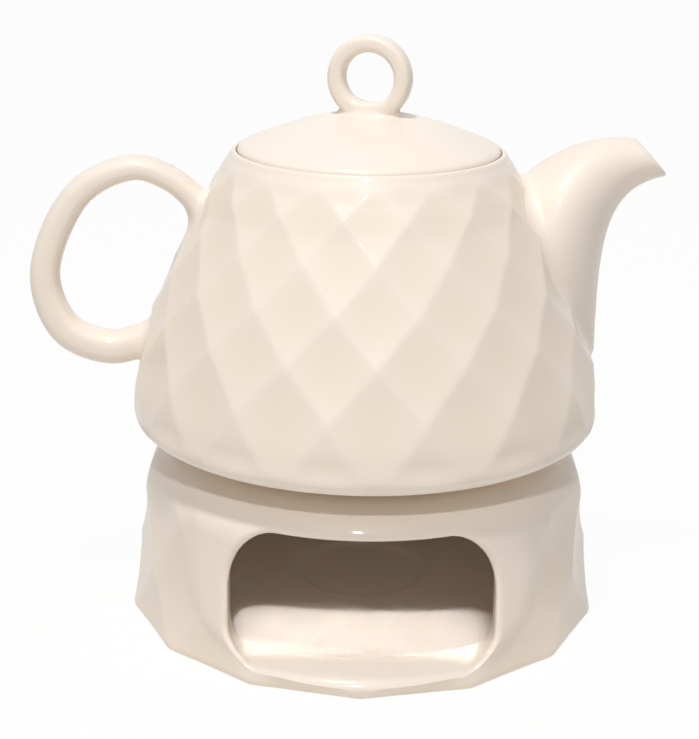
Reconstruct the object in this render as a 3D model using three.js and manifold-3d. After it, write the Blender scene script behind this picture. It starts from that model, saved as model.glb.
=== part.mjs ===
// A porcelain teapot with a faceted body, standing on its own tea-light warmer.
// Millimetres, +Z up. The origin is the middle of the warmer's base, the warmer's window
// faces -Y, the handle points to -X and the spout to +X.
import * as THREE from 'three';
import { mergeVertices } from 'three/addons/utils/BufferGeometryUtils.js';
import Module from 'manifold-3d';

const wasm = await Module();
wasm.setup();

// Clearances, and how the pot and the ring knob are turned
const GAP = 0.3;
const POT_TURN = THREE.MathUtils.degToRad(2.8);
const RING_TURN = THREE.MathUtils.degToRad(-14);

// Each unit of the diamond lattice is drawn with this many steps, and a plain round with so many
const STEPS = 2;
const ROUND = 44;

// Warmer
const WARMER_FACETS = 14;
const WARMER_HEIGHT = 60;
const WARMER_BASE_RADIUS = 82;
const WARMER_WALL_TOP_RADIUS = 76.3;
const WARMER_FLARE = 1.3;
const WARMER_SHOULDER = 13;
const WARMER_FOOT_ROUND = 0.9;
const WARMER_LOW_ROW = 22;
const WARMER_PRESS = 2.8;
const WARMER_TOP_THICKNESS = 6;
const WARMER_FLOOR = 8;
const CHAMBER_WALL = 12;
const CHAMBER_TOP_WALL = 7.3;
const CHAMBER_CORNER = 8;
const CANDLE_SEAT_RADIUS = 20.5;
const CANDLE_SEAT_DEPTH = 1.6;

// Window in the warmer, its sill and the smooth field round it
const WINDOW_HALF_WIDTH = 43;
const WINDOW_TOP = 50;
const WINDOW_TOP_CORNER = 13;
const WINDOW_LOW_CORNER = 12;
const SILL_EDGE_HEIGHT = 5.7;
const FIELD_MARGIN = 14.5;
const FIELD_FOOT = 4;
const FIELD_SPRING = 35;
const FIELD_POWER = 2.5;

// Pot
const POT_FACETS = 16;
const FOOT_OUTER_RADIUS = 56;
const FOOT_WIDTH = 5;
const FOOT_HEIGHT = 4;
const SEAT_DEPTH = 1.5;
const SEAT_CLEARANCE = 0.8;
const SEAT_LAND = 7;
const BELLY_RADIUS = 80.3;
const BELLY_RISE = 19.5;
const EDGE_RISE = 7.8;
const EDGE_RADIUS = 79.6;
const EDGE_ROUND = 6.1;
const ROW_RISES = [30.8, 46.9, 61.3, 75.9, 88];
const POT_HEIGHT = 100.4;
const POT_BEND = 0.4;
const POT_PRESS = 2.3;
const POT_WALL = 5.5;
const POT_FLOOR = 5;
const BODY_BAND_RISE = 60.2;

// Mouth and lid
const LID_RADIUS = 43.3;
const LID_CLEARANCE = 0.5;
const LID_EDGE = 2.2;
const LID_SEAT_DEPTH = 2.6;
const LID_SEAT_WIDTH = 4.9;
const LID_RISE = 11.9;
const LID_WALL = 3.6;
const RIM_WIDTH = 2.8;
const RIM_ROUND = 1.8;
const NECK_DEPTH = 4.2;
const SKIRT_CLEARANCE = 0.7;
const SKIRT_WALL = 3.2;
const SKIRT_DEPTH = 10;
const STEAM_HOLE_RADIUS = 1.6;
const STEAM_HOLE_PLACE = 22;

// Ring knob
const RING_RADIUS = 14;
const RING_THICKNESS = 5.7;
const RING_DEPTH = 8;
const RING_EDGE = 1.7;
const RING_LIFT = 11.4;
const RING_FOOT_HALF_WIDTH = 11.6;
const RING_FOOT_HALF_DEPTH = 5.2;
const RING_FOOT_HEIGHT = 4.4;

// Spout
const SPOUT_TOP_DROP = 10.3;
const SPOUT_LOW_RISE = 27.5;
const SPOUT_REACH = 19.4;
const SPOUT_TIP_DROP = 8.3;
const SPOUT_MOUTH = 16.5;
const SPOUT_MOUTH_LEAN = THREE.MathUtils.degToRad(43);
const SPOUT_ROOT_HALF_WIDTH = 21;
const SPOUT_MOUTH_HALF_WIDTH = 8;
const SPOUT_WEDGE = 0.4;
const SPOUT_WALL = 2.8;
const STRAINER_HOLE_RADIUS = 2.3;
const STRAINER_PITCH = 6.6;
const STRAINER_RISE = 70.5;

// Handle, with its centre line in shares of its reach and of its height
const HANDLE_TOP_DROP = 9.7;
const HANDLE_LOW_RISE = 33.6;
const HANDLE_REACH = 27.7;
const HANDLE_LINE = [[0.46, 1.054], [0.782, 0.904], [1, 0.413], [0.887, 0.08], [0.634, -0.028]];
const HANDLE_TOP_THICKNESS = 6.8;
const HANDLE_LOW_THICKNESS = 9.6;
const HANDLE_DEPTH = 12.5;
const HANDLE_TOP_RUN = 6;
const HANDLE_TOP_DIP = 4;
const HANDLE_LOW_RUN = 1.5;
const HANDLE_LOW_DIP = 3;

// Places that several pieces share
const POT_BOTTOM = WARMER_HEIGHT - SEAT_DEPTH + GAP;
const RIM_TOP = POT_BOTTOM + POT_HEIGHT;
const EDGE_HEIGHT = POT_BOTTOM + EDGE_RISE;
const BELLY_HEIGHT = POT_BOTTOM + BELLY_RISE;
const LEDGE = RIM_TOP - LID_SEAT_DEPTH;
const MOUTH_RADIUS = LID_RADIUS + LID_CLEARANCE;
const RIM_RADIUS = MOUTH_RADIUS + RIM_WIDTH;
const NECK_RADIUS = MOUTH_RADIUS - LID_SEAT_WIDTH;
const SHOULDER_HEIGHT = LEDGE - GAP;
const LID_BOTTOM = LEDGE + GAP;
const DOME_TOP = LID_BOTTOM + LID_EDGE + LID_RISE;
const DOME_RADIUS = (LID_RADIUS ** 2 + LID_RISE ** 2) / (2 * LID_RISE);
const INSIDE = 14;
const CUT_PAST = 20;

// How far a point of a wall is pressed in, from 0 on a ridge to 1 in the middle of a diamond.
// u counts half facets round the piece and v counts rows up the wall.
function dish(u, v) {
  return Math.abs(Math.sin(Math.PI * (u + v) / 2) * Math.sin(Math.PI * (u - v) / 2));
}

// One level of a wall: its radius, its height, its row number and the depth of its dishes.
function level(r, z, v = 0, press = 0) {
  return { r, z, v, press };
}

// The points of one level, counted from the front (-Y) towards the spout (+X).
function levelPoints(lev, facets) {
  if (lev.r === 0) {
    return [new THREE.Vector3(0, 0, lev.z)];
  }
  const columns = facets * 2 * STEPS;
  const points = [];
  for (let j = 0; j < columns; j += 1) {
    const angle = 2 * Math.PI * j / columns;
    const r = lev.r - lev.press * dish(j / STEPS, lev.v);
    points.push(new THREE.Vector3(r * Math.sin(angle), -r * Math.cos(angle), lev.z));
  }
  return points;
}

// Skins neighbouring rings of points. A ring of one point closes an end. leans(i, j) picks the
// other diagonal for a face, so that sharp ridges run along edges.
function loft(rings, leans = () => false) {
  const starts = [];
  let total = 0;
  for (const ring of rings) {
    starts.push(total);
    total += ring.length;
  }
  const index = [];
  for (let i = 0; i + 1 < rings.length; i += 1) {
    const low = rings[i].length;
    const high = rings[i + 1].length;
    const count = Math.max(low, high);
    for (let j = 0; j < count; j += 1) {
      const k = (j + 1) % count;
      const a = starts[i] + j % low;
      const b = starts[i] + k % low;
      const c = starts[i + 1] + k % high;
      const d = starts[i + 1] + j % high;
      if (low === 1) {
        index.push(a, c, d);
      } else if (high === 1) {
        index.push(a, b, c);
      } else if (leans(i, j)) {
        index.push(a, b, d, b, c, d);
      } else {
        index.push(a, b, c, a, c, d);
      }
    }
  }
  const geometry = new THREE.BufferGeometry().setFromPoints(rings.flat());
  geometry.setIndex(index);
  return geometry;
}

// A round body whose levels carry the lattice of dishes.
function facetedBody(levels, facets) {
  const rings = levels.map((lev) => levelPoints(lev, facets));
  return loft(rings, (i, j) => {
    const u = (j + 0.5) / STEPS;
    const v = (levels[i].v + levels[i + 1].v) / 2;
    return Math.abs(Math.sin(Math.PI * (u + v) / 2)) < Math.abs(Math.sin(Math.PI * (u - v) / 2));
  });
}

// A closed geometry as a solid for joining and cutting.
function solid(geometry) {
  const bare = geometry.clone();
  bare.deleteAttribute('normal');
  bare.deleteAttribute('uv');
  const merged = mergeVertices(bare, 1e-4);
  const corners = merged.index.array;
  const kept = [];
  for (let i = 0; i < corners.length; i += 3) {
    const [a, b, c] = [corners[i], corners[i + 1], corners[i + 2]];
    if (a !== b && b !== c && c !== a) {
      kept.push(a, b, c);
    }
  }
  const vertProperties = new Float32Array(merged.attributes.position.array);
  return new wasm.Manifold(new wasm.Mesh({
    numProp: 3, vertProperties, triVerts: new Uint32Array(kept),
  }));
}

// A profile of [radius, height] pairs turned about the Z axis.
function turned(profile) {
  const points = profile.map(([r, z]) => new THREE.Vector2(r, z));
  return new THREE.LatheGeometry(points, ROUND).rotateX(Math.PI / 2);
}

// An outline in X and Z, drawn out from the middle plane towards the front.
function frontPrism(shape, depth) {
  const options = { depth, bevelEnabled: false, curveSegments: 8 };
  return new THREE.ExtrudeGeometry(shape, options).rotateX(Math.PI / 2);
}

// Points [radius, height] on an arc given in degrees, both ends included.
function arc(r, z, radius, from, to, steps) {
  const points = [];
  for (let i = 0; i <= steps; i += 1) {
    const a = THREE.MathUtils.degToRad(from + (to - from) * i / steps);
    points.push([r + radius * Math.cos(a), z + radius * Math.sin(a)]);
  }
  return points;
}

function glazed(name, manifold, color) {
  const mesh = manifold.getMesh();
  const geometry = new THREE.BufferGeometry();
  geometry.setAttribute('position', new THREE.BufferAttribute(mesh.vertProperties, 3));
  geometry.setIndex(new THREE.BufferAttribute(mesh.triVerts, 1));
  geometry.computeVertexNormals();
  const material = new THREE.MeshStandardMaterial({ color, roughness: 0.2, metalness: 0 });
  const piece = new THREE.Mesh(geometry, material);
  piece.name = name;
  return piece;
}

// Warmer

// Radius of the warmer's outside at a height below its shoulder.
function warmerRadius(z) {
  const s = z / (WARMER_HEIGHT - WARMER_SHOULDER);
  const flare = WARMER_BASE_RADIUS - WARMER_WALL_TOP_RADIUS;
  return WARMER_WALL_TOP_RADIUS + flare * Math.max(0, 1 - s) ** WARMER_FLARE;
}

// The warmer's outside, from the middle of its base to the middle of its top.
function warmerLevels(press) {
  const topRow = WARMER_HEIGHT - WARMER_SHOULDER;
  const levels = [level(0, 0), level(WARMER_BASE_RADIUS - WARMER_FOOT_ROUND, 0, 0, press)];
  for (let i = 0; i <= 2 * STEPS; i += 1) {
    const v = i / STEPS;
    const z = v < 1 ? WARMER_LOW_ROW * v : WARMER_LOW_ROW + (topRow - WARMER_LOW_ROW) * (v - 1);
    levels.push(level(warmerRadius(z), Math.max(z, WARMER_FOOT_ROUND), v, press));
  }
  const steps = 5;
  const middle = WARMER_WALL_TOP_RADIUS - WARMER_SHOULDER;
  arc(middle, topRow, WARMER_SHOULDER, 0, 90, steps).slice(1).forEach(([r, z], i) => {
    const share = (i + 1) / steps;
    levels.push(level(r, z, 2 + share, press * (1 - share)));
  });
  levels.push(level(0, WARMER_HEIGHT));
  return levels;
}

// The smooth field round the window: straight sides that run in to a round foot.
function windowField() {
  const half = WINDOW_HALF_WIDTH + FIELD_MARGIN;
  const top = WARMER_HEIGHT + 1;
  const shape = new THREE.Shape();
  shape.moveTo(half, top);
  shape.lineTo(-half, top);
  const steps = 10;
  for (let i = -steps; i <= steps; i += 1) {
    const x = half * Math.sin(Math.PI / 2 * i / steps);
    const depth = (1 - Math.abs(x / half) ** FIELD_POWER) ** (1 / FIELD_POWER);
    shape.lineTo(x, FIELD_SPRING - (FIELD_SPRING - FIELD_FOOT) * depth);
  }
  return solid(frontPrism(shape, WARMER_BASE_RADIUS + CUT_PAST));
}

// The window: its outline cut through the wall, down to a sill that sheds outwards.
function windowCutter() {
  const w = WINDOW_HALF_WIDTH;
  const top = WINDOW_TOP - WINDOW_TOP_CORNER;
  const low = SILL_EDGE_HEIGHT + WINDOW_LOW_CORNER;
  const shape = new THREE.Shape();
  shape.absarc(w - WINDOW_LOW_CORNER, low, WINDOW_LOW_CORNER, -Math.PI / 2, 0);
  shape.absarc(w - WINDOW_TOP_CORNER, top, WINDOW_TOP_CORNER, 0, Math.PI / 2);
  shape.absarc(WINDOW_TOP_CORNER - w, top, WINDOW_TOP_CORNER, Math.PI / 2, Math.PI);
  shape.absarc(WINDOW_LOW_CORNER - w, low, WINDOW_LOW_CORNER, Math.PI, Math.PI * 1.5);
  const outline = solid(frontPrism(shape, WARMER_BASE_RADIUS + CUT_PAST));
  const inner = WARMER_BASE_RADIUS - CHAMBER_WALL - 1;
  const fall = (WARMER_FLOOR - SILL_EDGE_HEIGHT) / (WARMER_BASE_RADIUS - inner);
  const out = WARMER_BASE_RADIUS + CUT_PAST;
  const overSill = solid(turned([
    [0, WARMER_FLOOR],
    [inner, WARMER_FLOOR],
    [out, WARMER_FLOOR - fall * (out - inner)],
    [out, WARMER_HEIGHT],
    [0, WARMER_HEIGHT],
  ]));
  return outline.intersect(overSill);
}

// The chamber over the floor, the hole under the pot and the seats for foot and tea light.
function chamberCutter() {
  const ceiling = WARMER_HEIGHT - WARMER_TOP_THICKNESS;
  const floorRadius = WARMER_BASE_RADIUS - CHAMBER_WALL;
  const topRadius = WARMER_WALL_TOP_RADIUS - CHAMBER_TOP_WALL;
  const corner = arc(
    topRadius - CHAMBER_CORNER, ceiling - CHAMBER_CORNER, CHAMBER_CORNER, 0, 90, 4);
  const hole = FOOT_OUTER_RADIUS - FOOT_WIDTH - SEAT_LAND;
  const seat = FOOT_OUTER_RADIUS + SEAT_CLEARANCE;
  return solid(turned([
    [0, WARMER_FLOOR - CANDLE_SEAT_DEPTH],
    [CANDLE_SEAT_RADIUS, WARMER_FLOOR - CANDLE_SEAT_DEPTH],
    [CANDLE_SEAT_RADIUS + CANDLE_SEAT_DEPTH, WARMER_FLOOR],
    [floorRadius - 2, WARMER_FLOOR],
    [floorRadius, WARMER_FLOOR + 2],
    ...corner,
    [hole, ceiling],
    [hole, WARMER_HEIGHT - SEAT_DEPTH],
    [seat, WARMER_HEIGHT - SEAT_DEPTH],
    [seat, WARMER_HEIGHT + 1],
    [0, WARMER_HEIGHT + 1],
  ]));
}

function makeWarmer() {
  const faceted = solid(facetedBody(warmerLevels(WARMER_PRESS), WARMER_FACETS));
  const smooth = solid(facetedBody(warmerLevels(0), WARMER_FACETS));
  const outside = faceted.add(smooth.intersect(windowField()));
  return outside.subtract(chamberCutter()).subtract(windowCutter());
}

// Pot

// Radius of the pot's outside between belly and shoulder, on its ridges.
function potRadius(z) {
  const s = THREE.MathUtils.clamp((z - BELLY_HEIGHT) / (SHOULDER_HEIGHT - BELLY_HEIGHT), 0, 1);
  return BELLY_RADIUS - (BELLY_RADIUS - RIM_RADIUS) * ((1 - POT_BEND) * s + POT_BEND * s * s);
}

// The pot's outside, from the middle of its underside to the middle of its mouth. grow moves
// the wall outwards, for cutting what is luted to it.
function potLevels(grow) {
  const heights = [EDGE_HEIGHT, ...ROW_RISES.map((rise) => POT_BOTTOM + rise), SHOULDER_HEIGHT];
  const last = heights.length - 1;
  const rowOf = (z) => (z - heights[0]) / (heights[1] - heights[0]);
  const pressAt = (z) => POT_PRESS * THREE.MathUtils.smoothstep(z, EDGE_HEIGHT + 2, BELLY_HEIGHT);
  const under = POT_BOTTOM + FOOT_HEIGHT;
  const levels = [
    level(0, under),
    level(FOOT_OUTER_RADIUS - FOOT_WIDTH - 0.6, under),
    level(FOOT_OUTER_RADIUS - FOOT_WIDTH, POT_BOTTOM),
    level(FOOT_OUTER_RADIUS - 0.6, POT_BOTTOM),
    level(FOOT_OUTER_RADIUS, POT_BOTTOM + 0.8),
    level(FOOT_OUTER_RADIUS + 0.6, under),
  ];
  const edge = arc(EDGE_RADIUS - EDGE_ROUND, EDGE_HEIGHT + EDGE_ROUND, EDGE_ROUND + grow, -90, 0, 4);
  for (const [r, z] of edge) {
    levels.push(level(r, z, rowOf(z), pressAt(z)));
  }
  levels.push(level(BELLY_RADIUS + grow, BELLY_HEIGHT, rowOf(BELLY_HEIGHT), pressAt(BELLY_HEIGHT)));
  for (let i = STEPS; i <= last * STEPS; i += 1) {
    const low = Math.min(Math.floor(i / STEPS), last - 1);
    const z = THREE.MathUtils.lerp(heights[low], heights[low + 1], i / STEPS - low);
    levels.push(level(potRadius(z) + grow, z, i / STEPS, i < last * STEPS ? POT_PRESS : POT_PRESS / 3));
  }
  for (const [r, z] of arc(RIM_RADIUS - RIM_ROUND, RIM_TOP - RIM_ROUND, RIM_ROUND, 0, 90, 3)) {
    levels.push(level(r + grow, z, last));
  }
  levels.push(level(0, RIM_TOP));
  return levels;
}

// The room for the tea, the neck, the ledge for the lid and the mouth over it.
function cavityCutter() {
  const floor = POT_BOTTOM + FOOT_HEIGHT + POT_FLOOR;
  const corner = arc(
    EDGE_RADIUS - POT_WALL - EDGE_ROUND, floor + EDGE_ROUND, EDGE_ROUND, -90, 0, 3);
  const ceiling = LEDGE - NECK_DEPTH;
  const wall = [];
  const steps = 5;
  for (let i = 0; i <= steps; i += 1) {
    const z = THREE.MathUtils.lerp(BELLY_HEIGHT, ceiling, i / steps);
    wall.push([potRadius(z) - POT_WALL, z]);
  }
  return solid(turned([
    [0, floor],
    ...corner,
    ...wall,
    [NECK_RADIUS, ceiling],
    [NECK_RADIUS, LEDGE],
    [MOUTH_RADIUS, LEDGE],
    [MOUTH_RADIUS, RIM_TOP - 0.6],
    [MOUTH_RADIUS + 0.6, RIM_TOP],
    [MOUTH_RADIUS + 0.6, RIM_TOP + 5],
    [0, RIM_TOP + 5],
  ]));
}

// Holes in the wall behind the spout: one in the middle and six round it.
function strainerCutter() {
  const z = POT_BOTTOM + STRAINER_RISE;
  const holes = [];
  for (let i = 0; i < 7; i += 1) {
    const out = i === 0 ? 0 : STRAINER_PITCH;
    const a = Math.PI / 3 * i;
    const hole = new THREE.CylinderGeometry(
      STRAINER_HOLE_RADIUS, STRAINER_HOLE_RADIUS, 3 * POT_WALL + INSIDE, 8);
    hole.rotateZ(Math.PI / 2);
    hole.translate(potRadius(z) - POT_WALL / 2, out * Math.cos(a), z + out * Math.sin(a));
    holes.push(solid(hole));
  }
  return holes.reduce((all, hole) => all.add(hole));
}

// The whole shell: foot, wall, shoulder and rim.
function potShell() {
  const outside = solid(facetedBody(potLevels(0), POT_FACETS));
  return outside.subtract(cavityCutter()).subtract(strainerCutter());
}

// The slice of the shell between two heights. Neighbouring bands meet at a fine joint.
function band(shell, from, to) {
  const low = from + GAP / 2;
  const high = to - GAP / 2;
  const block = new THREE.BoxGeometry(4 * BELLY_RADIUS, 4 * BELLY_RADIUS, high - low);
  block.translate(0, 0, (low + high) / 2);
  return shell.intersect(solid(block));
}

// Spout

// The spout's upper and lower outlines, from the pot's wall to the mouth.
function spoutLines() {
  const top = RIM_TOP - SPOUT_TOP_DROP;
  const low = POT_BOTTOM + SPOUT_LOW_RISE;
  const tip = new THREE.Vector3(BELLY_RADIUS + SPOUT_REACH, 0, RIM_TOP - SPOUT_TIP_DROP);
  const lip = tip.clone();
  lip.x -= SPOUT_MOUTH * Math.sin(SPOUT_MOUTH_LEAN);
  lip.z += SPOUT_MOUTH * Math.cos(SPOUT_MOUTH_LEAN);
  const topRoot = new THREE.Vector3(potRadius(top), 0, top);
  const lowRoot = new THREE.Vector3(potRadius(low), 0, low);
  const upper = new THREE.CubicBezierCurve3(
    topRoot,
    topRoot.clone().lerp(lip, 0.2).add(new THREE.Vector3(0, 0, 5.3)),
    topRoot.clone().lerp(lip, 0.6).add(new THREE.Vector3(0, 0, 8.2)),
    lip);
  const lower = new THREE.CubicBezierCurve3(
    lowRoot,
    new THREE.Vector3(lowRoot.x + 1, 0, THREE.MathUtils.lerp(low, tip.z, 0.6)),
    new THREE.Vector3(lowRoot.x - 0.5, 0, THREE.MathUtils.lerp(low, tip.z, 0.94)),
    tip);
  return { upper, lower };
}

// One egg-shaped section between an upper and a lower point, narrower towards the lower.
function eggSection(high, low, halfWidth, wedge, count) {
  const middle = high.clone().lerp(low, 0.5);
  const arm = high.clone().sub(middle);
  const points = [];
  for (let j = 0; j < count; j += 1) {
    const a = 2 * Math.PI * j / count;
    const side = -halfWidth * Math.sin(a) * (1 + wedge * Math.cos(a));
    points.push(middle.clone().addScaledVector(arm, Math.cos(a)).add(new THREE.Vector3(0, side, 0)));
  }
  return points;
}

// The spout's outside, or with a wall taken off it the channel, which runs on past both ends.
function spoutForm(wall) {
  const { upper, lower } = spoutLines();
  const steps = 12;
  const count = 24;
  const sections = [];
  for (let i = 0; i <= steps; i += 1) {
    const t = i / steps;
    const high = upper.getPoint(t);
    const low = lower.getPoint(t);
    const inward = high.clone().sub(low).setLength(wall);
    const share = (1 + Math.cos(Math.PI * t)) / 2;
    const half = THREE.MathUtils.lerp(SPOUT_MOUTH_HALF_WIDTH, SPOUT_ROOT_HALF_WIDTH, share);
    sections.push(eggSection(
      high.sub(inward), low.add(inward), half - wall, SPOUT_WEDGE * (1 - t), count));
  }
  const root = upper.getPoint(0).sub(lower.getPoint(0));
  const back = new THREE.Vector3(-root.z, 0, root.x).setLength(wall > 0 ? INSIDE + 2 : INSIDE);
  sections.unshift(sections[0].map((p) => p.clone().add(back)));
  if (wall > 0) {
    const mouth = upper.getPoint(1).sub(lower.getPoint(1));
    const on = new THREE.Vector3(mouth.z, 0, -mouth.x).setLength(INSIDE);
    sections.push(sections.at(-1).map((p) => p.clone().add(on)));
  }
  const [first, last] = [sections[0], sections.at(-1)].map((points) => {
    const sum = points.reduce((s, p) => s.add(p), new THREE.Vector3());
    return [sum.divideScalar(points.length)];
  });
  return solid(loft([first, ...sections, last]));
}

function makeSpout() {
  const potOutside = solid(facetedBody(potLevels(GAP), POT_FACETS));
  return spoutForm(0).subtract(spoutForm(SPOUT_WALL)).subtract(potOutside);
}

// Handle

// The handle's centre line, from inside the upper wall round to inside the lower wall.
function handleLine() {
  const top = RIM_TOP - HANDLE_TOP_DROP;
  const low = POT_BOTTOM + HANDLE_LOW_RISE;
  const topWall = potRadius(top);
  const lowWall = potRadius(low);
  const across = BELLY_RADIUS + HANDLE_REACH - topWall;
  const points = [
    new THREE.Vector3(INSIDE / 2 - topWall, 0, top - HANDLE_TOP_DIP),
    new THREE.Vector3(-topWall - HANDLE_TOP_RUN, 0, top),
  ];
  for (const [out, up] of HANDLE_LINE) {
    points.push(new THREE.Vector3(-topWall - across * out, 0, low + (top - low) * up));
  }
  points.push(new THREE.Vector3(-lowWall - HANDLE_LOW_RUN, 0, low));
  points.push(new THREE.Vector3(INSIDE / 2 - lowWall, 0, low + HANDLE_LOW_DIP));
  return new THREE.CatmullRomCurve3(points);
}

function makeHandle() {
  const line = handleLine();
  const steps = 32;
  const count = 16;
  const rings = [];
  for (let i = 0; i <= steps; i += 1) {
    const t = i / steps;
    const grown = THREE.MathUtils.smoothstep(t, 0.2, 0.5);
    const half = THREE.MathUtils.lerp(HANDLE_TOP_THICKNESS, HANDLE_LOW_THICKNESS, grown) / 2;
    const along = line.getTangentAt(t);
    const out = new THREE.Vector3(along.z, 0, -along.x).multiplyScalar(half);
    const middle = line.getPointAt(t);
    const ring = [];
    for (let j = 0; j < count; j += 1) {
      const a = 2 * Math.PI * j / count;
      const side = new THREE.Vector3(0, HANDLE_DEPTH / 2 * Math.sin(a), 0);
      ring.push(middle.clone().addScaledVector(out, Math.cos(a)).add(side));
    }
    rings.push(ring);
  }
  const potOutside = solid(facetedBody(potLevels(GAP), POT_FACETS));
  const tube = loft([[line.getPointAt(0)], ...rings, [line.getPointAt(1)]]);
  return solid(tube).subtract(potOutside);
}

// Lid

// Height of the lid's dome over a radius, or of its underside with a wall taken off.
function domeHeight(r, wall = 0) {
  return DOME_TOP - DOME_RADIUS + Math.sqrt((DOME_RADIUS - wall) ** 2 - r * r);
}

// The dome's profile from its edge up to the axis, or lifted by a gap.
function domeProfile(gap) {
  const steps = 7;
  const points = [];
  for (let i = 0; i <= steps; i += 1) {
    const r = (LID_RADIUS - 0.5) * (1 - i / steps);
    points.push([r, domeHeight(r) + gap]);
  }
  return points;
}

function makeLid() {
  const skirt = NECK_RADIUS - SKIRT_CLEARANCE;
  const bore = skirt - SKIRT_WALL;
  const skirtBottom = LID_BOTTOM - SKIRT_DEPTH;
  const hollow = [];
  const steps = 5;
  for (let i = 0; i < steps; i += 1) {
    const r = bore * i / steps;
    hollow.push([r, domeHeight(r, LID_WALL)]);
  }
  const lid = solid(turned([
    ...hollow,
    [bore, domeHeight(bore, LID_WALL) - 1],
    [bore, skirtBottom + 0.6],
    [bore + 0.6, skirtBottom],
    [skirt - 0.6, skirtBottom],
    [skirt, skirtBottom + 0.6],
    [skirt, LID_BOTTOM],
    [LID_RADIUS - 0.6, LID_BOTTOM],
    [LID_RADIUS, LID_BOTTOM + 0.6],
    [LID_RADIUS, LID_BOTTOM + LID_EDGE - 0.6],
    ...domeProfile(0),
  ]));
  const hole = new THREE.CylinderGeometry(STEAM_HOLE_RADIUS, STEAM_HOLE_RADIUS, 4 * LID_WALL, 12);
  hole.rotateX(Math.PI / 2).translate(0, STEAM_HOLE_PLACE, domeHeight(STEAM_HOLE_PLACE));
  return lid.subtract(solid(hole));
}

// The ring knob: a flat-faced ring standing on a small flared foot.
function makeRing() {
  const middle = DOME_TOP + RING_LIFT;
  const inner = RING_RADIUS - RING_THICKNESS;
  const half = RING_DEPTH / 2;
  const e = RING_EDGE;
  const corners = [
    ...arc(RING_RADIUS - e, e - half, e, -90, 0, 2),
    ...arc(RING_RADIUS - e, half - e, e, 0, 90, 2),
    ...arc(inner + e, half - e, e, 90, 180, 2),
    ...arc(inner + e, e - half, e, 180, 270, 2),
  ];
  const ring = solid(turned([...corners, corners[0]]).rotateX(Math.PI / 2));
  const foot = [];
  const sunk = 6;
  const base = -RING_LIFT;
  for (const rise of [-sunk, -RING_FOOT_HEIGHT / 3, 0, RING_FOOT_HEIGHT / 2, RING_FOOT_HEIGHT]) {
    const flare = (1 - Math.max(rise, -1.5) / RING_FOOT_HEIGHT) ** 2;
    const wide = RING_FOOT_HALF_WIDTH - 2 + 2 * flare;
    const deep = RING_FOOT_HALF_DEPTH - 1.2 + 1.2 * flare;
    const points = [];
    for (let j = 0; j < 24; j += 1) {
      const a = 2 * Math.PI * j / 24;
      points.push(new THREE.Vector3(wide * Math.cos(a), deep * Math.sin(a), base + rise));
    }
    foot.push(points);
  }
  const bottom = [new THREE.Vector3(0, 0, base - sunk)];
  const top = [new THREE.Vector3(0, 0, base + RING_FOOT_HEIGHT)];
  const footing = solid(loft([bottom, ...foot, top]));
  const hole = solid(new THREE.CylinderGeometry(inner, inner, 3 * RING_DEPTH, ROUND));
  const knob = ring.add(footing.subtract(hole)).translate([0, 0, middle]);
  return knob.subtract(solid(turned([[0, LID_BOTTOM], ...domeProfile(GAP)])));
}

// The assembly: the warmer, and on it the turned pot with its lid
const teapot = new THREE.Group();
teapot.add(glazed('warmer', makeWarmer(), 0xf1e8db));

const pot = new THREE.Group();
pot.rotation.z = POT_TURN;
const shell = potShell();
const baseTop = EDGE_HEIGHT + EDGE_ROUND;
const bodyTop = POT_BOTTOM + BODY_BAND_RISE;
pot.add(glazed('pot_base', band(shell, POT_BOTTOM - CUT_PAST, baseTop), 0xf5ecdf));
pot.add(glazed('pot_body', band(shell, baseTop, bodyTop), 0xf6eee2));
pot.add(glazed('pot_shoulder', band(shell, bodyTop, RIM_TOP + CUT_PAST), 0xf7f0e5));
pot.add(glazed('spout', makeSpout(), 0xf5ede1));
pot.add(glazed('handle', makeHandle(), 0xf4ebde));
teapot.add(pot);

const cover = new THREE.Group();
cover.rotation.z = RING_TURN;
cover.add(glazed('lid', makeLid(), 0xf8f1e6));
cover.add(glazed('lid_ring', makeRing(), 0xf8f0e4));
teapot.add(cover);

export default teapot;
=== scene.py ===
# %% [markdown]
# # A faceted porcelain teapot on its warmer
#
# The real thing is a set of three loose castings in cream-white glazed porcelain: a low round
# warmer with a window for a tea light, a pot whose wall is pressed into a lattice of shallow
# diamonds, and a domed lid with a ring to lift it by. The spout, the handle and the ring were
# cast apart and luted on, stuck with liquid clay, before firing.
#
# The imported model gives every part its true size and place, with few faces. This lesson makes
# a fine surface for each part in the same place, and dresses it in glaze.

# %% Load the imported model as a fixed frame
import math
from contextlib import contextmanager

import bmesh
import bpy
from mathutils import Matrix, Vector


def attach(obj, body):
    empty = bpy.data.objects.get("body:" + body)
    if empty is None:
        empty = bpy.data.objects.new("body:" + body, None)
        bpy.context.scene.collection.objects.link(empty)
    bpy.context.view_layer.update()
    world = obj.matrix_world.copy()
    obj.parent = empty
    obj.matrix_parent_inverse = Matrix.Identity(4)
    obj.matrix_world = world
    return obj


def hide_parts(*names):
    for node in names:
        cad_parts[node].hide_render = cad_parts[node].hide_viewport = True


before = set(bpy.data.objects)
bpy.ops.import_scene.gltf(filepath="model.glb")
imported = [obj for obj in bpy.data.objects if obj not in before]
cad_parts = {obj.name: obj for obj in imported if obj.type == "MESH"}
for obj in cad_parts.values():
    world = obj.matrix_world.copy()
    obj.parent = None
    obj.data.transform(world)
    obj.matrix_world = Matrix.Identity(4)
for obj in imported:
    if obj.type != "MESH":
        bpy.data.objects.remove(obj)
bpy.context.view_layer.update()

bpy.ops.object.select_all(action="DESELECT")

# %% [markdown]
# ## The camera
#
# The photograph was taken from a little above the lid with a long lens. The camera could be
# framed by eye, but every comparison leans on it, so its place, its tilt and its lens come from
# a fit to the ridges and rims in the photograph, and it is placed first.

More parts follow.
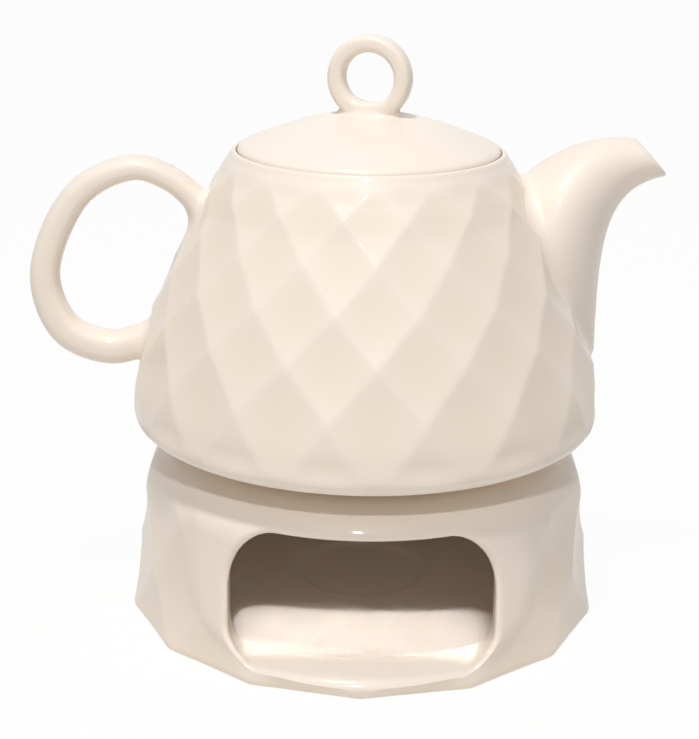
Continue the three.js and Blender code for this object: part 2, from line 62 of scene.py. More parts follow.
# %% Camera
MM = 0.001
CAMERA_PLACE = (0.0, -0.5378, 0.2603)
CAMERA_DOWN = math.radians(18.3)
CAMERA_YAW = math.radians(-0.58)
CAMERA_ROLL = math.radians(0.76)
LENS_MM = 80.18
SENSOR_MM = 36
CLIP_START = 0.01

forward = Vector((
    math.sin(CAMERA_YAW) * math.cos(CAMERA_DOWN),
    math.cos(CAMERA_YAW) * math.cos(CAMERA_DOWN),
    -math.sin(CAMERA_DOWN),
))
level_right = Vector((math.cos(CAMERA_YAW), -math.sin(CAMERA_YAW), 0.0))
level_up = level_right.cross(forward)
right = level_right * math.cos(CAMERA_ROLL) + level_up * math.sin(CAMERA_ROLL)
up = -level_right * math.sin(CAMERA_ROLL) + level_up * math.cos(CAMERA_ROLL)

bpy.ops.object.camera_add(location=CAMERA_PLACE)
camera = bpy.context.object
camera.name = "camera"
turn = Matrix((right, up, -forward)).transposed().to_4x4()
camera.matrix_world = Matrix.Translation(CAMERA_PLACE) @ turn
camera.data.lens = LENS_MM
camera.data.sensor_width = SENSOR_MM
camera.data.clip_start = CLIP_START
bpy.context.scene.camera = camera
print("camera looks along", [round(c, 3) for c in forward])

# %% [markdown]
# ## The light
#
# The light in a product photograph could be copied with many lamps, but three come close to
# what is seen. A steep one drops the pot's shadow on the warmer and shades the top of every
# diamond, a front one gives the bright flecks on the glaze, and a narrow beam through the
# window lights the floor of the warmer. The beam is a device, not a claim about the studio: it
# lights the floor without lifting the dark shadow. The beam is a device, not a claim about the
# studio: no single lamp that was tried gave both the dark shadow and the bright floor. A pale
# room does the rest.

# %% Lamps
SET_MIDDLE = Vector((0.0, 0.0, 0.08))
BEAM_TARGET = Vector((0.0, -0.076, 0.034))
LAMP_DISTANCE = 1.3
BEAM_DISTANCE = 0.4
BEAM_WIDTH, BEAM_DEPTH = 0.08, 0.02
BEAM_SPREAD = math.radians(1.5)


def lamp(name, azimuth, elevation, distance, size, watts, target=SET_MIDDLE):
    """An area lamp that faces the set. Azimuth is counted from the front towards the spout."""
    a, e = math.radians(azimuth), math.radians(elevation)
    away = Vector((math.sin(a) * math.cos(e), -math.cos(a) * math.cos(e), math.sin(e)))
    bpy.ops.object.light_add(type="AREA", location=target + away * distance)
    light = bpy.context.object
    light.name = name
    light.data.shape = "DISK"
    light.data.size = size
    light.data.energy = watts
    light.rotation_euler = (-away).to_track_quat("-Z", "Y").to_euler()
    return light


lamp("steep_lamp", azimuth=-21, elevation=72, distance=LAMP_DISTANCE, size=0.12, watts=8.9)
lamp("front_lamp", azimuth=-3, elevation=47, distance=LAMP_DISTANCE, size=0.07, watts=4.3)
beam = lamp(
    "window_beam", azimuth=0, elevation=45, distance=BEAM_DISTANCE, size=BEAM_WIDTH,
    watts=0.0064, target=BEAM_TARGET)
beam.data.shape = "RECTANGLE"
beam.data.size_y = BEAM_DEPTH
beam.data.spread = BEAM_SPREAD
scene = bpy.context.scene
scene.view_settings.view_transform = "Standard"

# %% [markdown]
# ## The nodes of a finish
#
# A finish is a small graph of nodes. Every node could have a function of its own, but they all
# need the same three things: a kind, some settings and some links. One function does it, and
# colours are written as they look on a screen and turned to linear light in one place.


# %% Helpers for materials
def linear(hex_colour):
    """An sRGB hex colour as the linear values that a shader wants."""
    values = []
    for i in (1, 3, 5):
        c = int(hex_colour[i:i + 2], 16) / 255
        values.append(c / 12.92 if c <= 0.04045 else ((c + 0.055) / 1.055) ** 2.4)
    return (*values, 1.0)


def node(tree, kind, inputs=None, **settings):
    """Adds a node. An input is a value or the output socket that it is linked to."""
    made = tree.nodes.new(kind)
    for name, value in settings.items():
        setattr(made, name, value)
    for name, value in (inputs or {}).items():
        if isinstance(value, bpy.types.NodeSocket):
            tree.links.new(value, made.inputs[name])
        else:
            made.inputs[name].default_value = value
    return made


print("middle grey in linear light:", [round(c, 3) for c in linear("#808080")])


# %% [markdown]
# ## The white surroundings
#
# The photograph's background is plain white. More lamps could make it so, but they would
# bleach the porcelain too. Instead the world and the floor are white only to rays from
# the camera, off a gloss or through glass. To the rays that light the set they are a pale room
# and matt paper, so the porcelain keeps a plain light.


# %% World and floor
def seen_directly(tree):
    """1 for rays from the camera, off a gloss or through glass, 0 for those that light the set."""
    path = node(tree, "ShaderNodeLightPath").outputs
    shiny = node(tree, "ShaderNodeMath", {
        0: path["Is Glossy Ray"], 1: path["Is Transmission Ray"],
    }, operation="MAXIMUM")
    seen = node(tree, "ShaderNodeMath", {
        0: path["Is Camera Ray"], 1: shiny.outputs[0],
    }, operation="MAXIMUM")
    return seen.outputs[0]


ROOM_LEVEL = 0.25
FLOOR_GLOW = 0.96
FLOOR_SIZE = 6
world = bpy.data.worlds.new("pale_room")
scene.world = world
world.use_nodes = True
tree = world.node_tree
tree.nodes.clear()
room = node(tree, "ShaderNodeBackground", {"Color": linear("#fbfaf8"), "Strength": ROOM_LEVEL})
white = node(tree, "ShaderNodeBackground", {"Color": (1, 1, 1, 1), "Strength": 1.0})
mixed = node(tree, "ShaderNodeMixShader", {
    0: seen_directly(tree), 1: room.outputs[0], 2: white.outputs[0],
})
node(tree, "ShaderNodeOutputWorld", {"Surface": mixed.outputs[0]})

bpy.ops.mesh.primitive_plane_add(size=FLOOR_SIZE, location=(0, 0, 0))
floor = bpy.context.object
floor.name = "floor"
paper = bpy.data.materials.new("matt_white_paper")
paper.use_nodes = True
tree = paper.node_tree
tree.nodes.clear()
matt = node(tree, "ShaderNodeBsdfDiffuse", {"Color": linear("#f4f2ee")})
glow = node(tree, "ShaderNodeEmission", {"Color": (1, 1, 1, 1), "Strength": 1.0})
share = node(tree, "ShaderNodeMath", {
    0: seen_directly(tree), 1: FLOOR_GLOW,
}, operation="MULTIPLY")
mixed = node(tree, "ShaderNodeMixShader", {
    0: share.outputs[0], 1: matt.outputs[0], 2: glow.outputs[0],
})
node(tree, "ShaderNodeOutputMaterial", {"Surface": mixed.outputs[0]})
floor.data.materials.append(paper)
print("room level:", ROOM_LEVEL, "floor's glow:", FLOOR_GLOW)

# %% [markdown]
# ## The glaze
#
# Porcelain is a white, slightly warm clay under a clear glaze that melted into a skin of glass.
# The eye gets a soft cream body colour, sharp reflections on top, and small signs of the kiln:
# the glaze runs a little thin and pale on ridges and pools a little deeper in hollows, its
# colour drifts over a few centimetres, and its skin is wavy like still water. One flat colour
# with a low roughness would read as plastic. A Principled shader with a coat is the glass skin
# over a duller body, and noise in real millimetres does the rest. The dishes of the pot and
# the warmer are marked by an attribute, `hollow`. On the other parts it is nought.

# %% Glazed porcelain
CREAM = "#f5eadc"
CREAM_PINK = "#f4e7da"
CREAM_DEEP = "#efdfcb"
DRIFT_MM = 38.0
RIPPLE_MM = 7.0
RIPPLE_DEPTH_MM = 0.1
SKIN_MM = 1.6
SKIN_DEPTH_MM = 0.02
POOL_SHARE = 0.55
ROUGHEST, SMOOTHEST = 0.46, 0.4


def glazed_porcelain(name):
    """Cream-white porcelain body under a clear, slightly rippled glaze."""
    material = bpy.data.materials.new(name)
    material.use_nodes = True
    tree = material.node_tree
    tree.nodes.clear()
    place = node(tree, "ShaderNodeTexCoord").outputs["Object"]

    def noise(size_mm, detail):
        return node(tree, "ShaderNodeTexNoise", {
            "Vector": place, "Scale": 1 / (size_mm * MM), "Detail": detail,
        })

    drift = node(tree, "ShaderNodeMapRange", {
        "Value": noise(DRIFT_MM, 2.0).outputs[0], "From Min": 0.2, "From Max": 0.8,
    }, interpolation_type="SMOOTHSTEP")
    body = node(tree, "ShaderNodeMix", {
        0: drift.outputs[0], 6: linear(CREAM), 7: linear(CREAM_PINK),
    }, data_type="RGBA")
    hollow = node(tree, "ShaderNodeAttribute", attribute_name="hollow")
    pooled = node(tree, "ShaderNodeMath", {
        0: hollow.outputs["Fac"], 1: POOL_SHARE,
    }, operation="MULTIPLY")
    colour = node(tree, "ShaderNodeMix", {
        0: pooled.outputs[0], 6: body.outputs[2], 7: linear(CREAM_DEEP),
    }, data_type="RGBA")
    polish = node(tree, "ShaderNodeMapRange", {
        "Value": noise(DRIFT_MM / 3, 3.0).outputs[0], "To Min": SMOOTHEST, "To Max": ROUGHEST,
    })
    ripple = node(tree, "ShaderNodeBump", {
        "Height": noise(RIPPLE_MM, 1.0).outputs[0], "Strength": 0.3,
        "Distance": RIPPLE_DEPTH_MM * MM,
    })
    skin = node(tree, "ShaderNodeBump", {
        "Height": noise(SKIN_MM, 2.0).outputs[0], "Strength": 0.15,
        "Distance": SKIN_DEPTH_MM * MM, "Normal": ripple.outputs[0],
    })
    shader = node(tree, "ShaderNodeBsdfPrincipled", {
        "Base Color": colour.outputs[2],
        "Roughness": polish.outputs[0],
        "IOR": 1.5,
        "Specular IOR Level": 0.3,
        "Normal": skin.outputs[0],
        "Coat Weight": 0.42,
        "Coat Roughness": 0.07,
        "Coat IOR": 1.5,
        "Coat Normal": skin.outputs[0],
    })
    node(tree, "ShaderNodeOutputMaterial", {"Surface": shader.outputs[0]})
    return material


finish = glazed_porcelain("cream_glazed_porcelain")
print("finish:", finish.name)

# %% [markdown]
# ## Helpers for modelling
#
# The parts are modelled in millimetres, like a drawing, and scaled to metres when they are
# finished. Nearly every part here starts as one of two primitives. A circle whose points are
# moved onto an outline becomes a profile that can be spun, as on a potter's wheel. A grid is a
# slab of clay: its points are moved to where the wall runs, and its two side edges are welded.


# %% Small tools for edit mode
WELD_REACH = 0.005
SEAM_REACH = 0.001
GRID_REACH = 0.0005


def only(obj):
    """Makes one object the selected and active one."""
    bpy.ops.object.select_all(action="DESELECT")
    obj.select_set(True)
    bpy.context.view_layer.objects.active = obj


@contextmanager
def editing(obj, select="SELECT"):
    """Edit mode on one object, with all of it selected or none."""
    only(obj)
    bpy.ops.object.mode_set(mode="EDIT")
    bpy.ops.mesh.select_mode(type="VERT")
    bpy.ops.mesh.select_all(action=select)
    yield
    bpy.ops.object.mode_set(mode="OBJECT")


def move_selected(obj, rule):
    """In edit mode, moves each selected point to the place that the rule gives."""
    mesh = bmesh.from_edit_mesh(obj.data)
    for vert in mesh.verts:
        if vert.select:
            vert.co = rule(vert.co)
    bmesh.update_edit_mesh(obj.data)


def modify(obj, kind, **settings):
    """Adds a modifier with its settings and applies it."""
    only(obj)
    modifier = obj.modifiers.new(kind.title(), kind)
    for name, value in settings.items():
        setattr(modifier, name, value)
    bpy.ops.object.modifier_apply(modifier=modifier.name)


def joined(pieces):
    """Joins pieces that share their edge points into one closed skin."""
    bpy.ops.object.select_all(action="DESELECT")
    for piece in pieces:
        piece.select_set(True)
    bpy.context.view_layer.objects.active = pieces[0]
    if len(pieces) > 1:
        bpy.ops.object.join()
    with editing(pieces[0]):
        bpy.ops.mesh.remove_doubles(threshold=WELD_REACH)
        bpy.ops.mesh.normals_make_consistent(inside=False)
    return pieces[0]


def cut(obj, cutter):
    """Cuts one solid from another and deletes the cutter."""
    modify(obj, "BOOLEAN", operation="DIFFERENCE", object=cutter, solver="EXACT")
    bpy.data.objects.remove(cutter)


# %% [markdown]
# The two primitives, the spun profile and the slab, need a rule for round corners as well. A
# bevel could round them afterwards, but the spin needs an outline whose points are already
# where they belong, so `softened` rounds the corners of a drawing before it is used.


# %% Spun outlines and slabs
def spun(name, profile, steps):
    """Spins an open profile of (radius, height) points about the upright axis."""
    bpy.ops.object.select_all(action="DESELECT")
    bpy.ops.mesh.primitive_circle_add(vertices=len(profile), radius=1)
    obj = bpy.context.object
    obj.name = name
    for vert, (r, z) in zip(obj.data.vertices, profile):
        vert.co = (0, -r, z)
    with editing(obj, "DESELECT"):
        mesh = bmesh.from_edit_mesh(obj.data)
        mesh.verts.ensure_lookup_table()
        mesh.verts[0].select = mesh.verts[-1].select = True
        mesh.select_flush(True)
        bpy.ops.mesh.delete(type="EDGE")
        bpy.ops.mesh.select_all(action="SELECT")
        bpy.ops.mesh.spin(steps=steps, angle=2 * math.pi, center=(0, 0, 0), axis=(0, 0, 1))
        bpy.ops.mesh.remove_doubles(threshold=SEAM_REACH)
    return obj


def slab(name, rows, ends="open"):
    """A grid whose rows of points run round a tube, its side edges welded. Ends can be filled."""
    around = len(rows[0])
    bpy.ops.object.select_all(action="DESELECT")
    bpy.ops.mesh.primitive_grid_add(x_subdivisions=around, y_subdivisions=len(rows) - 1, size=2)
    obj = bpy.context.object
    obj.name = name
    for index, vert in enumerate(obj.data.vertices):
        row, column = divmod(index, around + 1)
        vert.co = rows[row][column % around]
    with editing(obj):
        bpy.ops.mesh.remove_doubles(threshold=GRID_REACH)
        if ends == "filled":
            bpy.ops.mesh.fill_holes(sides=0)
        bpy.ops.mesh.normals_make_consistent(inside=False)
    return obj


LONGEST_SHARE = 0.48


def softened(corners, steps=5):
    """An outline whose corners are rounded. A corner is (x, z, radius), 0 for a plain point."""
    points = []
    for i, (x, z, radius) in enumerate(corners):
        here = Vector((x, z))
        if radius == 0 or i in (0, len(corners) - 1):
            points.append((x, z))
            continue
        before = Vector(corners[i - 1][:2]) - here
        after = Vector(corners[i + 1][:2]) - here
        start = here + before.normalized() * min(radius, before.length * LONGEST_SHARE)
        end = here + after.normalized() * min(radius, after.length * LONGEST_SHARE)
        for k in range(steps + 1):
            t = k / steps
            p = start * (1 - t) ** 2 + here * 2 * t * (1 - t) + end * t * t
            points.append((p.x, p.y))
    return points


def smoothstep(x, low, high):
    """0 up to the low value, 1 from the high one on, and a soft step between."""
    t = min(max((x - low) / (high - low), 0.0), 1.0)
    return t * t * (3 - 2 * t)


def mix(a, b, t):
    """The value a share of the way from a to b."""
    return a + (b - a) * t


def squared(x, power):
    """Pushes a sine or cosine outwards, which makes a round section a little square."""
    return math.copysign(abs(x) ** power, x)


# %% [markdown]
# Each finished part is named, turned to its place, scaled to metres, shaded and glazed. It then
# rides the body that carries it and stands in for that body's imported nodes. This could be
# typed six times, but one function can't forget a step, and it counts open edges as a check.


# %% What every finished part gets
def open_edges(obj):
    """The edges of a mesh that don't lie between exactly two faces."""
    count = {}
    for face in obj.data.polygons:
        for key in face.edge_keys:
            count[key] = count.get(key, 0) + 1
    return [key for key, n in count.items() if n != 2]


def finished(obj, name, body, cad_nodes, turn=0.0, sharp=35):
    """Turns and scales a part into its place in metres, and ties it to the frame."""
    obj.name = name
    obj.data.name = name
    if "hollow" not in obj.data.attributes:
        obj.data.attributes.new("hollow", "FLOAT", "POINT")
    obj.rotation_euler = (0, 0, turn)
    obj.scale = (MM, MM, MM)
    only(obj)
    bpy.ops.object.transform_apply(location=True, rotation=True, scale=True)
    bpy.ops.object.shade_smooth_by_angle(angle=math.radians(sharp))
    obj.data.materials.clear()
    obj.data.materials.append(finish)
    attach(obj, body)
    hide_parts(*cad_nodes)
    print(f"{name}: {len(obj.data.polygons)} faces, {len(open_edges(obj))} open edges")


# %% [markdown]
# ## The lattice of diamonds
#
# The wall is pressed into diamonds that stand on their points, in rows half a diamond high
# round a tapering drum: six rows on the pot, and four on the warmer with its shoulder and top.
# Cutting them one by one would take long. The trick is to lay the wall out flat: a grid is
# poked, which puts a point in the middle of every square, and pairs of the new triangles are
# joined across the old edges. What is left is exactly a lattice of diamonds, whose edges are
# the ridges. Subdividing it gives the fine mesh, which is then rolled up, with each point
# pressed in by how far it is from its ridges. Because the mesh lines run along the ridges,
# they stay straight.

# %% The flat lattice and the depth of a dish
RIDGE_SOFTNESS = 0.16
CUTS = 19


def lattice(name, facets, rows):
    """The flat lattice. x counts half facets from the middle of the front, y counts rows."""
    bpy.ops.object.select_all(action="DESELECT")
    bpy.ops.mesh.primitive_grid_add(x_subdivisions=facets, y_subdivisions=rows // 2, size=2)
    obj = bpy.context.object
    obj.name = name
    for vert in obj.data.vertices:
        vert.co = (round(vert.co.x * facets), round((vert.co.y + 1) * rows / 2), 0)
    with editing(obj):
        bpy.ops.mesh.poke()
        bpy.ops.mesh.tris_convert_to_quads()
        bpy.ops.mesh.select_all(action="SELECT")
        bpy.ops.mesh.subdivide(number_cuts=CUTS)
    print(name, "lattice:", len(obj.data.polygons), "faces")
    return obj


def from_middle(x):
    """The square of how far x is from the nearest odd number, its crests rubbed round."""
    near = abs(x % 2 - 1)
    here, there = near * near, (2 - near) ** 2
    return (here + there - math.sqrt((here - there) ** 2 + RIDGE_SOFTNESS ** 2)) / 2


def dish(u, v):
    """1 in the middle of a diamond, and nearly 0 where four diamonds meet."""
    return 1 - (from_middle(u + v) + from_middle(u - v)) / 2


def rolled(obj, wall):
    """Rolls the flat lattice up. wall(u, v) gives radius, height and how deep the dish is."""
    depths = []
    for vert in obj.data.vertices:
        u, v = vert.co.x, vert.co.y
        r, z, angle, pressed = wall(u, v)
        vert.co = (r * math.sin(angle), -r * math.cos(angle), z)
        depths.append(pressed)
    marks = obj.data.attributes.new("hollow", "FLOAT", "POINT")
    marks.data.foreach_set("value", depths)
    return obj


# %% [markdown]
# ## The pot's body
#
# A slip-cast wall about five and a half millimetres thick: a foot ring, a rounded lower edge,
# six rows of lattice, a soft rim with a ledge for the lid, and the plain inside. The faceted
# outside is the rolled lattice. The rest is round, so it is spun, with as many steps as the
# lattice has points along its edge, and the two are welded.

# %% Pot outline
POT_TURN = math.radians(2.8)
POT_FACETS = 16
POT_BOTTOM = 58.8
RIM_TOP = 159.2
EDGE_HEIGHT = 66.6
EDGE_RADIUS = 79.6
EDGE_ROUND = 6.1
BELLY_HEIGHT = 78.3
BELLY_RADIUS = 80.3
SHOULDER_HEIGHT = 156.3
RIM_RADIUS = 46.6
RIM_ROUND = 1.8
POT_BEND = 0.52
POT_DISH = 0.029
POT_WALL = 5.5
BELLY_SOFTNESS = 3.0
ROW_HEIGHTS = [66.6, 89.6, 105.7, 120.1, 134.7, 146.8, 157.2]
POT_ROWS = len(ROW_HEIGHTS) - 1
FADE_ROW = 5.35
CORNER_ROW = 5.5
RIM_SWELL = 0.9
SWELL_ROW, SWELL_ROWS = 4.4, 1.8
LEDGE = 156.6
MOUTH_RADIUS = 43.8
NECK_RADIUS = 38.9
FOOT_RADIUS = 56.0


def pot_line(z):
    """The pot's ridge radius at a height, as straight runs and one long bend."""
    if z < BELLY_HEIGHT:
        slope = (BELLY_RADIUS - EDGE_RADIUS) / (BELLY_HEIGHT - EDGE_HEIGHT - EDGE_ROUND)
        return BELLY_RADIUS - slope * (BELLY_HEIGHT - z)
    s = (z - BELLY_HEIGHT) / (SHOULDER_HEIGHT - BELLY_HEIGHT)
    return BELLY_RADIUS - (BELLY_RADIUS - RIM_RADIUS) * ((1 - POT_BEND) * s + POT_BEND * s * s)


def pot_radius(z):
    """The same line with its corner at the belly rubbed soft."""
    return (pot_line(z - BELLY_SOFTNESS) + 2 * pot_line(z) + pot_line(z + BELLY_SOFTNESS)) / 4


def pot_row(z):
    """Which row of the lattice a height is on."""
    for i in range(POT_ROWS):
        if z < ROW_HEIGHTS[i + 1]:
            low, high = ROW_HEIGHTS[i], ROW_HEIGHTS[i + 1]
            return max(0.0, i + (z - low) / (high - low))
    return float(POT_ROWS)


def pot_pressed(u, z):
    """The share of the full depth that the wall is pressed in, at a column and a height."""
    v = pot_row(z)
    fade_in = smoothstep(z, EDGE_HEIGHT + 2, BELLY_HEIGHT)
    fade_out = 1 - smoothstep(v, FADE_ROW, POT_ROWS)
    return dish(u, v) * fade_in * fade_out


def pot_skin(angle, z):
    """The pot's outer radius in a direction and at a height."""
    u = angle * POT_FACETS / math.pi
    return pot_radius(z) * (1 - POT_DISH * pot_pressed(u, z))


print("ridge radius at each row:", [round(pot_radius(z), 1) for z in ROW_HEIGHTS])


# %% [markdown]
# The lattice has to turn the rounded corner at the pot's lower edge as well. The corner could be
# a spun ring of its own, but its seam would show in the glaze. So the start of the lowest row is
# read as a length along the outline, first round the corner and then up the wall.

# %% Pot wall
EDGE_TOP = EDGE_HEIGHT + EDGE_ROUND
EDGE_END = 75.0
EDGE_ROW = pot_row(EDGE_END)
EDGE_RUN = EDGE_ROUND * math.pi / 2


def pot_place(u, v):
    """Rolls a point of the flat lattice onto the pot's wall."""
    angle = math.pi * u / POT_FACETS
    if v < EDGE_ROW:
        s = v / EDGE_ROW * (EDGE_RUN + EDGE_END - EDGE_TOP)
        if s < EDGE_RUN:
            a = s / EDGE_ROUND - math.pi / 2
            r = pot_radius(EDGE_TOP) - EDGE_ROUND + EDGE_ROUND * math.cos(a)
            z = EDGE_TOP + EDGE_ROUND * math.sin(a)
        else:
            z = EDGE_TOP + s - EDGE_RUN
            r = pot_radius(z)
    else:
        i = min(int(v), POT_ROWS - 1)
        z = mix(ROW_HEIGHTS[i], ROW_HEIGHTS[i + 1], v - i)
        swell = math.sin(math.pi * min(max((v - SWELL_ROW) / SWELL_ROWS, 0.0), 1.0)) ** 2
        exact = smoothstep(v, CORNER_ROW, POT_ROWS)
        r = mix(pot_radius(z), pot_line(z), exact) + RIM_SWELL * swell
    pressed = pot_pressed(u, z) if v > 0 else 0.0
    return r * (1 - POT_DISH * pressed), z, angle, pressed


pot_body = rolled(lattice("pot_wall", POT_FACETS, POT_ROWS), pot_place)
pot_steps = POT_FACETS * (CUTS + 1)

# %% [markdown]
# The mouth is round in the photograph. The foot ring and the inside, which it doesn't show,
# are taken from how such pots are made, and are round too. They could be cut out of a solid,
# but two spun outlines that start on the lattice's first and last row of points close the
# shell without a single boolean.

# %% Pot foot, mouth and inside
FOOT_WIDTH = 5
FOOT_DEPTH = 4
FLOOR_RISE = 9
NECK_DEPTH = 4.2
INNER_STEPS = 12
PLAIN_RADIUS = 30
edge_start = pot_radius(EDGE_TOP) - EDGE_ROUND
underside = spun("pot_underside", softened([
    (edge_start, EDGE_HEIGHT, 0),
    (FOOT_RADIUS + 0.8, POT_BOTTOM + FOOT_DEPTH, 2.0),
    (FOOT_RADIUS, POT_BOTTOM, 1.2),
    (FOOT_RADIUS - FOOT_WIDTH, POT_BOTTOM, 1.2),
    (FOOT_RADIUS - FOOT_WIDTH - 0.6, POT_BOTTOM + FOOT_DEPTH, 1.5),
    (PLAIN_RADIUS, POT_BOTTOM + FOOT_DEPTH, 0),
    (0, POT_BOTTOM + FOOT_DEPTH, 0),
]), pot_steps)
inside_floor = POT_BOTTOM + FLOOR_RISE
neck_end = LEDGE - NECK_DEPTH
inner_wall = []
for i in range(INNER_STEPS + 1):
    z = mix(neck_end - 3, BELLY_HEIGHT, i / INNER_STEPS)
    inner_wall.append((pot_radius(z) - POT_WALL, z, 0))
inner_edge = EDGE_RADIUS - POT_WALL
rim_start = pot_place(0, POT_ROWS)[0]
mouth = spun("pot_mouth", softened([
    (rim_start, ROW_HEIGHTS[-1], 0),
    (rim_start - 1.0, RIM_TOP, RIM_ROUND),
    (MOUTH_RADIUS, RIM_TOP, 0.5),
    (MOUTH_RADIUS, LEDGE, 0.5),
    (NECK_RADIUS, LEDGE, 0.8),
    (NECK_RADIUS, neck_end, 1.0),
    (pot_radius(neck_end) - POT_WALL - 1, neck_end, 1.5),
    *inner_wall,
    (inner_edge, inside_floor + EDGE_ROUND + 2, 0),
    (inner_edge, inside_floor, EDGE_ROUND),
    (PLAIN_RADIUS, inside_floor, 0),
    (0, inside_floor, 0),
]), pot_steps)
pot_body = joined([pot_body, underside, mouth])
print("pot's shell:", len(pot_body.data.polygons), "faces")

# %% [markdown]
# Such a pot has small holes behind its spout that strain the leaves. The photograph can't show
# them, so seven are assumed. Modelling each as a ring of faces would break up the lattice's
# even mesh, so they are drilled, with cylinders joined into one cutter.

# %% Strainer holes
HOLE_RADIUS = 2.3
HOLE_PITCH = 6.6
HOLE_HEIGHT = POT_BOTTOM + 70.5
DRILL_LENGTH = 30
drills = []
for i in range(7):
    out = 0 if i == 0 else HOLE_PITCH
    a = math.pi / 3 * i
    bpy.ops.mesh.primitive_cylinder_add(
        vertices=24, radius=HOLE_RADIUS, depth=DRILL_LENGTH, rotation=(0, math.pi / 2, 0),
        location=(pot_radius(HOLE_HEIGHT) - 3, out * math.cos(a), HOLE_HEIGHT + out * math.sin(a)))
    bpy.ops.object.transform_apply(location=True, rotation=True, scale=True)
    drills.append(bpy.context.object)
cut(pot_body, joined(drills))
finished(
    pot_body, "pot_body_porcelain", "pot", ["pot_base", "pot_body", "pot_shoulder"],
    POT_TURN)

# %% [markdown]
# ## Luted joins
#
# Where a handle or a spout is stuck to a pot, the potter smooths the seam with a wet finger, so
# a small hollow curve runs all round. It could be made by fusing the parts and rounding the
# crease, but the parts stay separate pieces here. So each tube finds where it meets the pot's
# skin, leaves its own surface a few millimetres before that, and lands on the pot's surface a
# few millimetres outside it.


# %% Where a tube meets the pot
JOIN_STEPS = 7
WALL_LEAN = 0.35
PROBE = 0.002
END_SUNK = 0.06
CLEAR = 0.02


def above_skin(p):
    """How far a point is outside the pot's wall."""
    return math.hypot(p.x, p.y) - pot_skin(math.atan2(p.x, -p.y), p.z)


def on_skin(p, rise):
    """The point moved in or out to lie at a height over the pot's skin."""
    angle = math.atan2(p.x, -p.y)
    r = pot_skin(angle, p.z) + rise
    return Vector((r * math.sin(angle), -r * math.cos(angle), p.z))


def meeting(line, outside, inside, depth=0.0):
    """The share along a line at which it goes under the skin, found by halving."""
    for _ in range(40):
        middle = (outside + inside) / 2
        if above_skin(line(middle)) > -depth:
            outside = middle
        else:
            inside = middle
    return outside


def luted(line, outside, inside, reach, centre):
    """Points from the tube's surface down onto the pot's skin, and where they leave the tube."""
    t = meeting(line, outside, inside)
    foot = line(t)
    step = (outside - inside) * PROBE
    speed = (line(t + step) - foot).length / abs(step)
    leave = t + math.copysign(reach / speed, outside - inside)
    start = line(leave)
    normal = Vector((foot.x, foot.y, math.hypot(foot.x, foot.y) * WALL_LEAN)).normalized()
    away = foot - centre(t)
    away = (away - normal * away.dot(normal)).normalized()
    end = on_skin(foot + away * reach, -END_SUNK)
    points = []
    for k in range(JOIN_STEPS + 1):
        s = k / JOIN_STEPS
        p = start * (1 - s) ** 2 + foot * 2 * s * (1 - s) + end * s * s
        if above_skin(p) < 0:
            p = on_skin(p, CLEAR if k < JOIN_STEPS else -END_SUNK)
        points.append(p)
    return leave, points


# %% [markdown]
# ## The spout
#
# A hollow, egg-shaped tube, wide and pointed downwards at its root and narrow at the mouth. Its
# outline in the photograph is two curves, so its sections are strung between an upper and a
# lower curve. The tube is one skin that runs up the outside, over the rounded lip and back down
# the inside.

# %% Spout sections
SPOUT_ROOT = {"top": RIM_TOP - 10.3, "low": POT_BOTTOM + 27.5}
SPOUT_TIP = Vector((99.7, 0, 150.9))
SPOUT_MOUTH = 16.5
SPOUT_LEAN = math.radians(43)
SPOUT_LIP = SPOUT_TIP + Vector((-math.sin(SPOUT_LEAN), 0, math.cos(SPOUT_LEAN))) * SPOUT_MOUTH
SPOUT_HALF_WIDTHS = (21.0, 8.0)
SPOUT_WEDGE = 0.4
SPOUT_WALL = 2.8
UPPER_RISE = (5.3, 8.2)
LOWER_PULL = (0.6, 1.8)
ROOT_RUN = 70
AROUND = 72


def bezier(points, t):
    """A point on the curve that four points steer."""
    a, b, c, d = points
    return a * (1 - t) ** 3 + b * 3 * t * (1 - t) ** 2 + c * 3 * t * t * (1 - t) + d * t ** 3


top_root = Vector((pot_line(SPOUT_ROOT["top"]), 0, SPOUT_ROOT["top"]))
low_root = Vector((pot_line(SPOUT_ROOT["low"]), 0, SPOUT_ROOT["low"]))
rise = SPOUT_TIP.z - low_root.z
upper_line = (
    top_root,
    top_root.lerp(SPOUT_LIP, 0.2) + Vector((0, 0, UPPER_RISE[0])),
    top_root.lerp(SPOUT_LIP, 0.6) + Vector((0, 0, UPPER_RISE[1])),
    SPOUT_LIP,
)
lower_line = (
    low_root,
    Vector((low_root.x - LOWER_PULL[0], 0, low_root.z + 0.6 * rise)),
    Vector((low_root.x - LOWER_PULL[1], 0, low_root.z + 0.94 * rise)),
    SPOUT_TIP,
)
root_chord = top_root - low_root
into_pot = Vector((-root_chord.z, 0, root_chord.x)).normalized()


def spout_centre(t):
    """The middle of the section at a share of the spout's length."""
    inward = into_pot * max(0.0, -t) * ROOT_RUN
    t = max(t, 0.0)
    return (bezier(upper_line, t) + bezier(lower_line, t)) / 2 + inward


def spout_point(turned, t, wall=0.0):
    """A point on the spout, turned round its section. Below 0, the root runs on into the pot."""
    inward = into_pot * max(0.0, -t) * ROOT_RUN
    t = max(t, 0.0)
    high, low = bezier(upper_line, t), bezier(lower_line, t)
    middle = (high + low) / 2
    arm = (high - middle).normalized() * ((high - middle).length - wall)
    half = mix(SPOUT_HALF_WIDTHS[1], SPOUT_HALF_WIDTHS[0], (1 + math.cos(math.pi * t)) / 2) - wall
    side = -half * math.sin(turned) * (1 + SPOUT_WEDGE * (1 - t) * math.cos(turned))
    return middle + arm * math.cos(turned) + Vector((0, side, 0)) + inward


print("spout's mouth:", SPOUT_MOUTH, "mm, its root:", round(root_chord.length, 1), "mm")


# %% [markdown]
# The skin is built in columns that run along the spout: up the outside, over the lip and down
# the channel. A thickened sheet could give the wall as well, but then its root couldn't be
# fitted to the pot by itself outside and inside.

